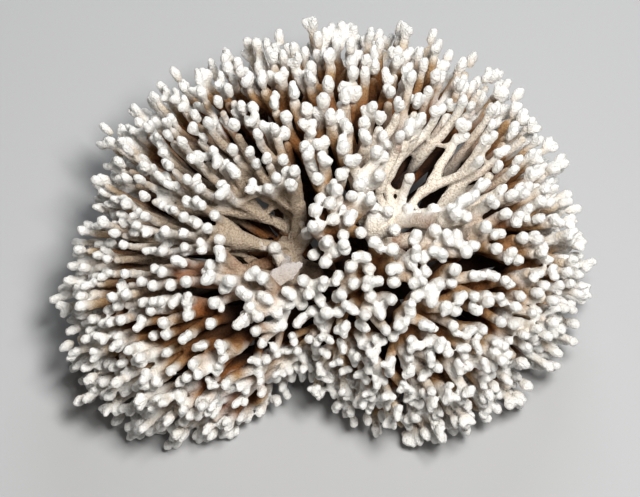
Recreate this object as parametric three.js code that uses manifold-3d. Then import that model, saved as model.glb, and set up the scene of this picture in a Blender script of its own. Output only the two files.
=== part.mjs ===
// A colony of branching finger coral, bleached and dried, in millimetres with +Z up.
// The colony grew from one holdfast. Limbs fan out of it, fork into branches, and these
// fork twice more into some hundreds of blunt fingers that end on one low, notched dome.
// Each limb and each branch is its own solid, parted just above the fork it grows from.
// The origin is the centre of the flat cut under the holdfast.
import * as THREE from 'three';
import { mergeVertices } from 'three/addons/utils/BufferGeometryUtils.js';
import Module from 'manifold-3d';

// The dome: the fingers end on it, and all of them point away from its heart.
const HEART = new THREE.Vector3(0, 0, 42);
const CROWN = 85;
// How far the rim reaches from the heart in plan, every 15 degrees from +X towards +Y.
// The short reaches from 240 to 285 degrees are the notch at the front.
const RIM = [
  115, 115, 119, 124, 128, 132, 130, 130, 131, 133, 134, 127,
  134, 134, 129, 107, 59, 56, 61, 72, 86, 91, 99, 109,
];
const RIM_DROOP = 11;           // degrees below level that the rim fingers hang
const FRONT_DROOP = 15;         // and how much more at the front
const FLOOR_GAP = 4;            // the lowest fingers stop this far above the cut

// The main limbs, as azimuth and elevation in degrees.
const LIMBS = [
  [-60, 6], [-128, 4], [-18, 14], [-168, 10], [22, 10], [66, 12],
  [110, 12], [150, 8], [26, 55], [-174, 50], [-80, 50],
];
const BRANCHES = 47;
const SHOOTS = 150;
const FINGERS = 1050;
const SOLID_FINGERS = 208;      // the later, smaller fingers are left to the fine surface

// Two clearings in the dome, where the fingers are missing and the bare shafts show.
// Each is an ellipse: its middle from the heart, and its long and short half widths.
const CLEARINGS = [
  { middle: [38, 15, 79], long: [0.45, 0.87, -0.19], half: 46, wide: [0.85, -0.5, -0.1], side: 20 },
  { middle: [-40, -12, 80], long: [-0.7, 0.7, -0.1], half: 27, wide: [0.7, 0.7, -0.1], side: 22 },
];
// Past each clearing lies an open fan, which forks early and then runs in long shafts.
// All of its branches grow from the end of one limb, which is at its root.
const FANS = [
  { axis: [48, 42], spread: 32, limb: 8, root: [18, 0, 38] },
  { axis: [158, 36], spread: 38, limb: 9, root: [-27, -8, 38] },
];
const FAN_EDGE = 10;            // degrees over which a fan blends into the rest

// Where the forks are, as shares of the reach, and how much earlier in an open fan.
const LIMB_FORK = 0.36;
const BRANCH_FORK = 0.6;
const SHOOT_FORK = 0.78;
const BRANCH_EARLY = 0.15;
const SHOOT_EARLY = 0.15;
const LACK = [-1.5, 9];         // how far the fingers stop short of the dome
const STUMP = [0.6, 0.8];       // the share of the reach that fingers in a clearing have
const STUMP_EVERY = 4;          // only each fourth finger in a clearing grew at all
const ROOM = 7.5;               // no finger grew whose end is closer than this to another
const ROOT_DROP = 12;           // the limbs start this far below the heart

const LIMB_RADII = [6.2, 5.2];
const BRANCH_RADII = [4.4, 3.8];
const SHOOT_RADII = [3.7, 3.3, 3.5];
const FINGER_RADII = [3, 3.5];

// The holdfast's foot, as radius and height pairs up its side.
const FOOT = [[29, 0], [27.5, 5], [20, 14], [16, 26], [9, 37]];
const FOOT_SIDES = 12;

const GAP = 0.3;
const CLEARANCE = 0.5;
const FINE = 0.4;               // facets smaller than this are merged away
const TINY = 0.05;              // and after a cut, those smaller than this
const SEED = 11;
const TRIES = 20;

const wasm = await Module();
wasm.setup();

/** A repeatable stream of numbers from 0 to 1. */
class Draws {
  constructor(seed) {
    this.state = seed;
  }

  next() {
    this.state = (Math.imul(this.state, 1664525) + 1013904223) >>> 0;
    return this.state / 4294967296;
  }

  span(low, high) {
    return low + (high - low) * this.next();
  }
}

/** The direction at an azimuth and elevation in degrees. */
function aim(azimuth, elevation) {
  const a = THREE.MathUtils.degToRad(azimuth);
  const e = THREE.MathUtils.degToRad(elevation);
  return new THREE.Vector3(Math.cos(a) * Math.cos(e), Math.sin(a) * Math.cos(e), Math.sin(e));
}

/** The rim's reach at an azimuth in radians, a smooth curve through RIM. */
function rimReach(azimuth) {
  const turn = 2 * Math.PI;
  const place = ((azimuth % turn) + turn) % turn / turn * RIM.length;
  const i = Math.floor(place);
  const f = place - i;
  const [a, b, c, d] = [-1, 0, 1, 2].map((k) => RIM[(i + k + RIM.length) % RIM.length]);
  return b + 0.5 * f * (c - a + f * (2 * a - 5 * b + 4 * c - d + f * (3 * (b - c) + d - a)));
}

/** The dome's distance from the heart along a direction: an ellipse from rim to crown. */
function reach(direction) {
  const out = Math.hypot(direction.x, direction.y);
  const up = Math.max(direction.z, 0);
  const rim = rimReach(Math.atan2(direction.y, direction.x));
  const dome = 1 / Math.sqrt((out / rim) ** 2 + (up / CROWN) ** 2 + 1e-9);
  return direction.z < 0 ? Math.min(dome, (HEART.z - FLOOR_GAP) / -direction.z) : dome;
}

/** How open the dome is at a point from the heart: below 1 is inside a clearing. */
function openness(point) {
  return Math.min(...CLEARINGS.map((clearing) => {
    const away = point.clone().sub(new THREE.Vector3(...clearing.middle));
    const along = away.dot(new THREE.Vector3(...clearing.long).normalize()) / clearing.half;
    const across = away.dot(new THREE.Vector3(...clearing.wide).normalize()) / clearing.side;
    return Math.hypot(along, across);
  }));
}

/** How far into one open fan a direction lies, from 0 outside to 1. */
function shareOf(fan, direction) {
  const angle = THREE.MathUtils.radToDeg(direction.angleTo(aim(...fan.axis)));
  return THREE.MathUtils.clamp((fan.spread - angle) / FAN_EDGE, 0, 1);
}

/** How far into an open fan a direction lies, whichever fan that is. */
function fanShare(direction) {
  return Math.max(...FANS.map((fan) => shareOf(fan, direction)));
}

/** Directions spread evenly over the dome. Each new one is the loneliest of some tries. */
function spreadDirections(count, draw) {
  const found = LIMBS.map((limb) => aim(...limb));
  while (found.length < count) {
    let best = null;
    let widest = -1;
    for (let k = 0; k < TRIES; k += 1) {
      const azimuth = draw.span(-Math.PI, Math.PI);
      const height = draw.span(-0.45, 1);
      const droop = RIM_DROOP + FRONT_DROOP * Math.max(0, -Math.sin(azimuth));
      if (Math.asin(height) < -THREE.MathUtils.degToRad(droop)) continue;
      const level = Math.cos(Math.asin(height));
      const trial = new THREE.Vector3(Math.cos(azimuth) * level, Math.sin(azimuth) * level, height);
      const nearest = Math.min(...found.map((other) => other.distanceTo(trial)));
      const room = nearest * (reach(trial) / CROWN) ** 0.7;
      if (room > widest) {
        widest = room;
        best = trial;
      }
    }
    if (best) found.push(best);
  }
  return found;
}

/** The place in a list of the direction nearest to one. */
function nearestOf(direction, list) {
  let best = 0;
  list.forEach((other, i) => {
    if (other.dot(direction) > list[best].dot(direction)) best = i;
  });
  return best;
}

/** Everything grown: the directions, who grows on whom, and where each part forks. */
function grow() {
  const draw = new Draws(SEED);
  const directions = spreadDirections(FINGERS, draw);
  const lacks = directions.map(() => draw.span(...LACK));
  const lows = directions.map(() => draw.span(...STUMP));
  const parts = { limb: new Map(), branch: new Map(), shoot: new Map(), finger: new Map() };
  const shootHeads = directions.slice(0, SHOOTS);
  const branchHeads = directions.slice(0, BRANCHES);
  const limbHeads = directions.slice(0, LIMBS.length);

  /** Adds one more finger's direction to a part, making the part on the first. */
  const join = (level, key, parent, direction) => {
    if (!parts[level].has(key)) parts[level].set(key, { parent, sum: new THREE.Vector3() });
    parts[level].get(key).sum.add(direction);
  };
  const tips = [];
  directions.forEach((direction, i) => {
    const inside = openness(direction.clone().multiplyScalar(reach(direction))) < 1;
    if (inside && i % STUMP_EVERY !== 0) return;
    const length = inside ? reach(direction) * lows[i] : reach(direction) - lacks[i];
    const tip = direction.clone().multiplyScalar(length);
    if (tips.some((other) => other.distanceTo(tip) < ROOM)) return;
    tips.push(tip);
    const shoot = nearestOf(direction, shootHeads);
    const branch = nearestOf(directions[shoot], branchHeads);
    const fan = FANS.find((each) => shareOf(each, directions[branch]) >= 0.5);
    const limb = fan ? fan.limb : nearestOf(directions[branch], limbHeads);
    parts.finger.set(i, { parent: inside ? branch : shoot, length, inside, sum: direction.clone() });
    if (!inside) join('shoot', shoot, branch, direction);
    join('branch', branch, limb, direction);
    join('limb', limb, null, direction);
  });

  const forks = [
    ['limb', LIMB_FORK, 0],
    ['branch', BRANCH_FORK, BRANCH_EARLY],
    ['shoot', SHOOT_FORK, SHOOT_EARLY],
  ];
  for (const [level, share, early] of forks) {
    for (const [key, part] of parts[level]) {
      part.heading = part.sum.clone().normalize();
      if (level === 'limb') part.heading.add(directions[key]).normalize();
      const distance = reach(part.heading) * (share - early * fanShare(part.heading));
      part.end = part.heading.clone().multiplyScalar(distance).add(HEART);
    }
  }
  for (const fan of FANS) parts.limb.get(fan.limb).end = new THREE.Vector3(...fan.root).add(HEART);
  for (const part of parts.finger.values()) {
    part.heading = part.sum;
    part.end = part.heading.clone().multiplyScalar(part.length).add(HEART);
  }
  return parts;
}

/** A closed tube of flat faces through some points, with a radius at each. */
function tube(points, radii, sides) {
  const positions = [];
  const index = [];
  const last = points.length - 1;
  const side = new THREE.Vector3();
  points.forEach((point, i) => {
    const ahead = points[Math.min(i + 1, last)].clone().sub(points[Math.max(i - 1, 0)]).normalize();
    if (i === 0) side.set(ahead.z, ahead.x, ahead.y);
    side.addScaledVector(ahead, -side.dot(ahead)).normalize();
    const other = ahead.clone().cross(side);
    for (let k = 0; k < sides; k += 1) {
      const angle = (2 * Math.PI * k) / sides;
      const corner = point.clone().addScaledVector(side, radii[i] * Math.cos(angle));
      positions.push(...corner.addScaledVector(other, radii[i] * Math.sin(angle)).toArray());
    }
  });
  for (let i = 0; i < last; i += 1) {
    for (let k = 0; k < sides; k += 1) {
      const a = i * sides + k;
      const b = i * sides + ((k + 1) % sides);
      index.push(a, b, b + sides, a, b + sides, a + sides);
    }
  }
  for (let k = 1; k < sides - 1; k += 1) {
    index.push(0, k + 1, k, last * sides, last * sides + k, last * sides + k + 1);
  }
  const geometry = new THREE.BufferGeometry();
  geometry.setAttribute('position', new THREE.Float32BufferAttribute(positions, 3));
  geometry.setIndex(index);
  return geometry;
}

/** A geometry as a manifold solid, with its shared corners merged. */
function solidOf(geometry) {
  geometry.deleteAttribute('normal');
  geometry.deleteAttribute('uv');
  const merged = mergeVertices(geometry);
  return new wasm.Manifold(new wasm.Mesh({
    numProp: 3,
    vertProperties: Float32Array.from(merged.attributes.position.array),
    triVerts: Uint32Array.from(merged.index.array),
  }));
}

/** The bend half way along a stretch that leaves one heading and arrives on another. */
function bend(start, end, leaving, arriving) {
  const length = start.distanceTo(end);
  const sag = leaving.clone().sub(arriving).multiplyScalar(length / 8);
  return start.clone().lerp(end, 0.5).add(sag);
}

/** A point some way from one point towards another. */
function towards(from, to, distance) {
  return to.clone().sub(from).setLength(distance).add(from);
}

/** How far from a fork two arms with these radii stand clear of each other. */
function clearLength(direction, others, radius) {
  const angles = others.filter((other) => other !== direction).map((other) => other.angleTo(direction));
  const tightest = Math.min(Math.PI / 2, ...angles);
  return (radius + 2 * GAP) / Math.sin(tightest / 2);
}

/** Joins a list of tubes, grown by a margin, into one solid. */
function joined(tubes, margin) {
  const solids = tubes.map(({ points, radii, sides }) => {
    return solidOf(tube(points, radii.map((radius) => radius + margin), sides));
  });
  return solids.slice(1).reduce((whole, solid) => whole.add(solid), solids[0]);
}

const parts = grow();
const root = HEART.clone().setZ(HEART.z - ROOT_DROP);
const up = new THREE.Vector3(0, 0, 1);

/** Works out the course of each part of a level: where it starts, bends and ends. */
function route(level, parentOf, follow) {
  for (const part of parts[level].values()) {
    const parent = parentOf(part);
    const straight = part.end.clone().sub(parent.end).normalize();
    part.start = parent.end;
    part.leaving = straight.clone().addScaledVector(parent.heading, follow).normalize();
    part.middle = bend(part.start, part.end, part.leaving, part.heading);
  }
}
route('limb', () => ({ end: root, heading: up }), 0);
route('branch', (branch) => parts.limb.get(branch.parent), 0.5);
route('shoot', (shoot) => parts.branch.get(shoot.parent), 0.6);
route('finger', (finger) => (finger.inside ? parts.branch : parts.shoot).get(finger.parent), 0.6);

/** Gives each part of a level its arm: the stub that its parent keeps above the fork. */
function setArms(level, radius) {
  for (const part of parts[level].values()) {
    const sisters = [...parts[level].values()].filter((other) => other.parent === part.parent);
    const ways = sisters.map((other) => other.middle.clone().sub(other.start).normalize());
    const own = ways[sisters.indexOf(part)];
    const room = part.middle.distanceTo(part.start) - 1;
    part.arm = Math.min(clearLength(own, ways, radius), room);
  }
}
setArms('limb', LIMB_RADII[0]);
setArms('branch', BRANCH_RADII[0]);

/** The arm of a part, which belongs to its parent's solid. */
function armTube(part, radius, sides) {
  return {
    points: [part.start, towards(part.start, part.middle, part.arm)],
    radii: [radius, radius],
    sides,
  };
}

/** The rest of a part above its arm: a bent tube that starts on a flat cut. */
function shaftTube(part, radii, sides) {
  return {
    points: [towards(part.start, part.middle, part.arm + GAP), part.middle, part.end],
    radii: [radii[0], (radii[0] + radii[1]) / 2, radii[1]],
    sides,
  };
}

/** The tubes of one limb: its shaft and the arms of its branches. */
function limbTubes(key) {
  const branches = [...parts.branch.values()].filter((branch) => branch.parent === key);
  const arms = branches.map((branch) => armTube(branch, BRANCH_RADII[0], 5));
  return [shaftTube(parts.limb.get(key), LIMB_RADII, 6), ...arms];
}

/** The tubes of one branch: its shaft, its shoots and their fingers. */
function branchTubes(key) {
  const tubes = [shaftTube(parts.branch.get(key), BRANCH_RADII, 5)];
  const leaders = new Set();
  const shoots = [...parts.shoot].filter(([, shoot]) => shoot.parent === key);
  for (const [shootKey, shoot] of shoots) {
    const points = [shoot.start, shoot.end];
    const leader = parts.finger.get(shootKey);
    if (leader && !leader.inside) {
      points.push(leader.end);
      leaders.add(leader);
    }
    tubes.push({ points, radii: SHOOT_RADII, sides: 4 });
  }
  for (const [fingerKey, finger] of parts.finger) {
    const holder = finger.inside ? finger.parent : parts.shoot.get(finger.parent).parent;
    if (holder !== key || fingerKey >= SOLID_FINGERS || leaders.has(finger)) continue;
    tubes.push({ points: [finger.start, finger.end], radii: FINGER_RADII, sides: 4 });
  }
  return tubes;
}

/** The holdfast: a turned foot, flat below, with an arm for each limb. */
function holdfastSolid(margin) {
  const profile = [[0, 0], ...FOOT, [0, FOOT.at(-1)[1]]];
  const lathe = new THREE.LatheGeometry(
    profile.map(([radius, height]) => new THREE.Vector2(radius, height)),
    FOOT_SIDES,
  );
  lathe.rotateX(Math.PI / 2);
  const arms = [...parts.limb.values()].map((limb) => armTube(limb, LIMB_RADII[0], 6));
  return solidOf(lathe).add(joined(arms, margin));
}

/** The largest of the bodies that a solid falls into. */
function largestBody(solid) {
  const bodies = solid.decompose();
  return bodies.reduce((best, body) => (body.volume() > best.volume() ? body : best));
}

/** Whether the boxes of two solids meet. */
function boxesMeet(a, b) {
  const first = a.boundingBox();
  const second = b.boundingBox();
  return [0, 1, 2].every((i) => first.min[i] < second.max[i] && second.min[i] < first.max[i]);
}

/** Each node's solid, cut back wherever it would touch one that is listed before it. */
function makeSolids() {
  const plans = [{ name: 'holdfast', make: holdfastSolid }];
  [...parts.limb.keys()].sort((a, b) => a - b).forEach((key, i) => {
    const name = `limb_${String(i + 1).padStart(2, '0')}`;
    plans.push({ name, make: (margin) => joined(limbTubes(key), margin) });
  });
  [...parts.branch.keys()].sort((a, b) => a - b).forEach((key, i) => {
    const name = `branch_${String(i + 1).padStart(2, '0')}`;
    plans.push({ name, make: (margin) => joined(branchTubes(key), margin) });
  });
  const done = [];
  for (const { name, make } of plans) {
    const whole = make(0).asOriginal().simplify(FINE);
    const clashing = done.filter((other) => {
      return boxesMeet(whole, other.wide) && whole.intersect(other.solid).volume() > 0;
    });
    let solid = clashing.reduce((left, other) => left.subtract(other.wide), whole);
    if (clashing.length > 0) solid = solid.asOriginal().simplify(TINY);
    done.push({ name, solid: largestBody(solid), wide: make(CLEARANCE) });
  }
  return done;
}

const SKELETON = new THREE.MeshStandardMaterial({ color: 0xe6dac6, roughness: 0.9, metalness: 0 });
const STAINED = new THREE.MeshStandardMaterial({ color: 0xb39a78, roughness: 0.9, metalness: 0 });

const group = new THREE.Group();
for (const { name, solid } of makeSolids()) {
  const { vertProperties, triVerts } = solid.getMesh();
  const geometry = new THREE.BufferGeometry();
  geometry.setAttribute('position', new THREE.BufferAttribute(vertProperties, 3));
  geometry.setIndex(new THREE.BufferAttribute(triVerts, 1));
  const mesh = new THREE.Mesh(geometry, (name.startsWith('branch') ? SKELETON : STAINED).clone());
  mesh.name = name;
  group.add(mesh);
}

export default group;
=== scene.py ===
import math
import bpy
import numpy as np
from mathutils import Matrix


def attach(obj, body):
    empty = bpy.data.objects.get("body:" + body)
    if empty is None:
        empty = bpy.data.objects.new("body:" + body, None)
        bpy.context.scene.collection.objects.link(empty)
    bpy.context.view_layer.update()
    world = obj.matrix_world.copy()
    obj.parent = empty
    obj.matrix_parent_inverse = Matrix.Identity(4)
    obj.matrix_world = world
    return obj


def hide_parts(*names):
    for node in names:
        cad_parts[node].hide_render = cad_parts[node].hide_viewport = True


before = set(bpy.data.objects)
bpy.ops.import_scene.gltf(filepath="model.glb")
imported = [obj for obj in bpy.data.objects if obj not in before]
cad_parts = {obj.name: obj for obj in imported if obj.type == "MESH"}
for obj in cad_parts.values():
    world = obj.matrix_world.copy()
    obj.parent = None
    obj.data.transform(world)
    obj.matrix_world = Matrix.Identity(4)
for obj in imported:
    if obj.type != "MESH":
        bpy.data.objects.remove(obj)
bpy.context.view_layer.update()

# ---------------------------------------------------------------------------------------
# The colony's growth. It is one skeleton of aragonite, laid down by the polyps from one
# holdfast: limbs fork into branches, these into shoots, and the shoots into fingers, all
# pointing away from one heart and ending on a low, notched dome. Lengths are millimetres.
# ---------------------------------------------------------------------------------------
HEART = np.array([0.0, 0.0, 42.0])
CROWN = 85.0
# How far the rim reaches from the heart in plan, every 15 degrees from +X towards +Y.
RIM = np.array([
    115, 115, 119, 124, 128, 132, 130, 130, 131, 133, 134, 127,
    134, 134, 129, 107, 59, 56, 61, 72, 86, 91, 99, 109], float)
RIM_DROOP, FRONT_DROOP, FLOOR_GAP = 11.0, 15.0, 4.0
# The sine of the lowest elevation that is tried, and how a far dome spreads its fingers.
LOWEST, FAR_SPREAD = -0.45, 0.7
LIMBS = np.array([
    (-60, 6), (-128, 4), (-18, 14), (-168, 10), (22, 10), (66, 12),
    (110, 12), (150, 8), (26, 55), (-174, 50), (-80, 50)], float)
LIMB_COUNT, BRANCH_COUNT, SHOOT_COUNT, FINGER_COUNT = len(LIMBS), 47, 150, 1050
# Each clearing in the dome: middle from the heart, long way and half, wide way and half.
CLEARINGS = (
    ((38, 15, 79), (0.45, 0.87, -0.19), 46, (0.85, -0.5, -0.1), 20),
    ((-40, -12, 80), (-0.7, 0.7, -0.1), 27, (0.7, 0.7, -0.1), 22))
# Each open fan past a clearing: azimuth, elevation and half angle in degrees, the limb
# that carries all of its branches, and the place of that limb's end from the heart.
FANS = ((48, 42, 32, 8, (18, 0, 38)), (158, 36, 38, 9, (-27, -8, 38)))
FAN_EDGE = 10.0
# The share of the reach at which each kind forks, and how much earlier in the open fans.
LIMB_FORK, BRANCH_FORK, SHOOT_FORK = 0.36, 0.6, 0.78
BRANCH_EARLY, SHOOT_EARLY = 0.15, 0.15
ROOT = HEART - np.array([0.0, 0.0, 12.0])
# How far short of the dome a finger ends, and the share of its reach that a stub has.
LACK, STUB_SHARE = (-1.5, 9.0), (0.6, 0.8)
LIFT, LIFT_RISE = 0.2, 3
# Only each fourth finger in a clearing grew, and none whose end is too close to another.
STUB_EVERY, ROOM = 4, 7.5
SEED, TRIES = 11, 20


class Draws:
    """A repeatable stream of numbers from 0 to 1."""

    def __init__(self, seed):
        self.state = seed

    def next(self):
        self.state = (self.state * 1664525 + 1013904223) % 4294967296
        return self.state / 4294967296

    def span(self, low, high):
        return low + (high - low) * self.next()


def unit(vectors):
    """Each vector over its own length."""
    return vectors / np.maximum(np.linalg.norm(vectors, axis=-1, keepdims=True), 1e-9)


def aim(azimuth, elevation):
    """The direction at an azimuth and an elevation in degrees."""
    a, e = np.radians(azimuth), np.radians(elevation)
    return np.stack([np.cos(a) * np.cos(e), np.sin(a) * np.cos(e), np.sin(e)], axis=-1)


def rim_reach(azimuth):
    """The rim's reach: a cubic through the two values of RIM on each side of the azimuth."""
    place = np.mod(azimuth, 2 * np.pi) / (2 * np.pi) * len(RIM)
    i = np.floor(place).astype(int)
    f = place - i
    a, b, c, d = (RIM[(i + k) % len(RIM)] for k in (-1, 0, 1, 2))
    return b + 0.5 * f * (c - a + f * (2 * a - 5 * b + 4 * c - d + f * (3 * (b - c) + d - a)))


def reach(way):
    """The dome's distance from the heart: an ellipse from rim to crown, cut off low down."""
    out = np.hypot(way[..., 0], way[..., 1])
    up = np.maximum(way[..., 2], 0)
    dome = 1 / np.sqrt((out / rim_reach(np.arctan2(way[..., 1], way[..., 0]))) ** 2
                       + (up / CROWN) ** 2 + 1e-9)
    under = (HEART[2] - FLOOR_GAP) / np.maximum(-way[..., 2], 1e-6)
    return np.where(way[..., 2] < 0, np.minimum(dome, under), dome)


def outward(way):
    """The dome's own upright direction, from the ellipse's slope, lifted a little."""
    rim = rim_reach(np.arctan2(way[..., 1], way[..., 0]))
    place = way * reach(way)[..., None]
    slope = place / np.stack([rim, rim, np.full_like(rim, CROWN)], axis=-1) ** 2
    slope[..., 2] = np.maximum(slope[..., 2], 0)
    lifted = unit(slope)
    lifted[..., 2] += LIFT * np.clip(lifted[..., 2] * LIFT_RISE, 0, 1)
    return unit(lifted)


def openness(points):
    """How far points from the heart lie from the nearest clearing; below 1 is inside it."""
    values = []
    for middle, long_way, half, wide_way, side in CLEARINGS:
        away = points - np.array(middle, float)
        along = away @ unit(np.array(long_way, float)) / half
        across = away @ unit(np.array(wide_way, float)) / side
        values.append(np.hypot(along, across))
    return np.min(values, axis=0)


def fan_shares(way):
    """How far into each open fan each direction lies, from 0 outside to 1."""
    shares = []
    for azimuth, elevation, spread, _, _ in FANS:
        angle = np.degrees(np.arccos(np.clip(way @ aim(azimuth, elevation), -1, 1)))
        shares.append(np.clip((spread - angle) / FAN_EDGE, 0, 1))
    return np.array(shares)


def fan_share(way):
    """How far into an open fan each direction lies, whichever fan that is."""
    return fan_shares(way).max(axis=0)


def spread_ways(count, draw):
    """Directions spread evenly over the dome: each new one is the loneliest of some tries."""
    found = np.zeros((count, 3))
    found[:LIMB_COUNT] = aim(*LIMBS.T)
    made = LIMB_COUNT
    while made < count:
        best, widest = None, -1.0
        for _ in range(TRIES):
            azimuth, height = draw.span(-math.pi, math.pi), draw.span(LOWEST, 1)
            droop = RIM_DROOP + FRONT_DROOP * max(0, -math.sin(azimuth))
            if math.asin(height) < -math.radians(droop):
                continue
            level = math.cos(math.asin(height))
            trial = np.array([math.cos(azimuth) * level, math.sin(azimuth) * level, height])
            nearest = np.min(np.linalg.norm(found[:made] - trial, axis=1))
            room = nearest * (reach(trial) / CROWN) ** FAR_SPREAD
            if room > widest:
                best, widest = trial, room
        if best is not None:
            found[made] = best
            made += 1
    return found


draw = Draws(SEED)
ways = spread_ways(FINGER_COUNT, draw)
lacks = np.array([draw.span(*LACK) for _ in ways])
stub_shares = np.array([draw.span(*STUB_SHARE) for _ in ways])
reaches = reach(ways)
inside = openness(ways * reaches[:, None]) < 1
lengths = np.where(inside, reaches * stub_shares, reaches - lacks)
ends = ways * lengths[:, None]
grown = []
for i in np.flatnonzero(~inside | (np.arange(FINGER_COUNT) % STUB_EVERY == 0)):
    if not grown or np.linalg.norm(ends[grown] - ends[i], axis=1).min() >= ROOM:
        grown.append(i)
grown = np.array(grown)

# Who grows on whom: each direction belongs to the nearest one among the first few.
shoot_of = np.argmax(ways @ ways[:SHOOT_COUNT].T, axis=1)
branch_of = np.argmax(ways[:SHOOT_COUNT] @ ways[:BRANCH_COUNT].T, axis=1)
limb_of = np.argmax(ways[:BRANCH_COUNT] @ ways[:LIMB_COUNT].T, axis=1)
for shares, fan in zip(fan_shares(ways[:BRANCH_COUNT]), FANS):
    limb_of[shares >= 0.5] = fan[3]


def heading(owners, count, members):
    """The mean direction of the fingers that each owner carries."""
    sums = np.zeros((count, 3))
    np.add.at(sums, owners[members], ways[members])
    return unit(sums)


def fork_point(way, share, early):
    """A fork at a share of the reach, and earlier in the open fans."""
    return HEART + way * (reach(way) * (share - early * fan_share(way)))[:, None]


shoot_way = heading(shoot_of, SHOOT_COUNT, grown[~inside[grown]])
branch_way = heading(branch_of[shoot_of], BRANCH_COUNT, grown)
limb_way = unit(heading(limb_of[branch_of[shoot_of]], LIMB_COUNT, grown) + ways[:LIMB_COUNT])
limb_end = fork_point(limb_way, LIMB_FORK, 0)
for *_, limb, root in FANS:
    limb_end[limb] = HEART + root
branch_end = fork_point(branch_way, BRANCH_FORK, BRANCH_EARLY)
shoot_end = fork_point(shoot_way, SHOOT_FORK, SHOOT_EARLY)


# ---------------------------------------------------------------------------------------
# The holdfast: the foot that the colony grew on, sawn off flat. Its flank is the old, worn
# skeleton, lumpy from grown-over fingers, and the limbs' first stubs rise out of its top.
# ---------------------------------------------------------------------------------------
MM = 0.001
# The foot's profile, as radius and height, and its limb stubs' radii: first, last and flare.
FOOT = np.array([(29.0, 0.0), (28.6, 2.5), (27.0, 5.5), (20.5, 14.0), (16.5, 26.0), (10.0, 36.0)])
STUB_RADII, STUB_STATIONS, FLARE_FADE = (7.0, 6.2, 1.5), 7, 6
# The points along a shaft's path, how far a limb sways aside, and over patches of what size.
STATIONS, LIMB_SWAY, SWAY_PATCH = 14, 1.5, 9.0
# The grid that fuses the foot's and the limbs' shells, and the share of faces that is kept.
CORE_VOXEL, THINNING = 1.6, 0.41
# The mesh keeps its detail so far below the tips, and is thinned more and more below that.
DETAILED, DEPTH_LEVELS, NEAR_WEIGHT = 12.0, 4, 0.5
# Lumps all over, and more of them near the tips: their height, their size and a salt.
LUMPS, TIP_LUMPS = ((0.16, 1.8, 3), (0.22, 4.2, 5)), ((0.5, 2.7, 9), (0.52, 1.6, 13))
TIP_LUMPS_REACH, FAR = 9, 99.0
# Depths below a tip and below the dome are stored as shares of this depth.
FULL_DEPTH, DOME_MARGIN = 50, 4
# An open fan is pale inside a cone that starts a way behind the fan's root.
CONE_BEHIND, CONE_WIDER = 30.0, 2.0


def carried(start, end, leaving, arriving, stations):
    """Cubic curves, all at once, that leave and arrive along given vectors (m, n, 3)."""
    s = np.linspace(0, 1, stations)[None, :, None]
    start, end, leaving, arriving = (q[:, None, :] for q in (start, end, leaving, arriving))
    return ((2 * s ** 3 - 3 * s ** 2 + 1) * start + (s ** 3 - 2 * s ** 2 + s) * leaving
            + (3 * s ** 2 - 2 * s ** 3) * end + (s ** 3 - s ** 2) * arriving)


def shaft_paths(start, end, parent_way, way, follow, stations):
    """Shafts that leave a fork partly along their parent and arrive along their own way."""
    length = np.linalg.norm(end - start, axis=1, keepdims=True)
    leaving = unit(unit(end - start) + follow * parent_way) * length
    return carried(start, end, leaving, way * length, stations)


def tubes(paths, radii, sides=10, cap=3, point=0.04):
    """Closed round tubes: a circle carried along each path, its radius falling to nothing
    at both ends as the cosine of an angle while it moves on by the sine of that angle."""
    ahead = unit(np.gradient(paths, axis=1))
    chord = unit(paths[:, -1] - paths[:, 0])
    upright = np.where(np.abs(chord[:, 2:]) < 0.8, [[0.0, 0, 1]], [[1.0, 0, 0]])
    across = unit(np.cross(chord, upright))
    angle = np.linspace(0, np.pi / 2, cap + 1)[1:]
    sink, shrink = np.sin(angle), np.maximum(np.cos(angle), point)
    head = paths[:, :1] - ahead[:, :1] * (radii[:, :1] * sink[::-1])[..., None]
    tail = paths[:, -1:] + ahead[:, -1:] * (radii[:, -1:] * sink)[..., None]
    points = np.concatenate([head, paths, tail], axis=1)
    widths = np.concatenate([radii[:, :1] * shrink[::-1], radii, radii[:, -1:] * shrink], axis=1)
    ahead = np.concatenate(
        [np.repeat(ahead[:, :1], cap, 1), ahead, np.repeat(ahead[:, -1:], cap, 1)], axis=1)
    side = unit(across[:, None] - ahead * np.sum(across[:, None] * ahead, axis=2, keepdims=True))
    other = np.cross(ahead, side)
    turn = np.arange(sides) * 2 * np.pi / sides
    ring = (side[:, :, None] * np.cos(turn)[:, None] + other[:, :, None] * np.sin(turn)[:, None])
    shell = points[:, :, None] + ring * widths[:, :, None, None]
    count, stations = points.shape[:2]
    corner = np.arange(count * stations * sides).reshape(count, stations, sides)
    beside = np.roll(corner, -1, axis=2)
    walls = np.stack([corner[:, :-1], beside[:, :-1], beside[:, 1:], corner[:, 1:]], axis=-1)
    ends = np.concatenate([corner[:, 0, ::-1], corner[:, -1]])
    return shell.reshape(-1, 3), walls.reshape(-1, 4), ends


def lattice(points, size, salt):
    """Smooth value noise from -1 to 1: hashed corners of a grid of cells of this size,
    blended across each cell by a cubic ease."""
    cell = points / size + 1000.0
    low = np.floor(cell).astype(np.int64)
    ease = cell - low
    ease = ease * ease * (3 - 2 * ease)
    total = np.zeros(len(points))
    for corner in range(8):
        bits = np.array([corner & 1, corner >> 1 & 1, corner >> 2 & 1])
        spot = low + bits
        mix = spot[:, 0] * 73856093 ^ spot[:, 1] * 19349663 ^ spot[:, 2] * 83492791 ^ salt * 2654435
        mix = (mix ^ mix >> 13) * 1274126177 & 0xFFFFFFFF
        value = (mix ^ mix >> 16 & 0xFFFF) % 65536 / 32767.5 - 1
        weight = np.prod(np.where(bits, ease, 1 - ease), axis=1)
        total += value * weight
    return total


def lumps(points, table):
    """The sum of lattice noises, each times its height."""
    return sum(height * lattice(points, size, salt) for height, size, salt in table)


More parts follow.
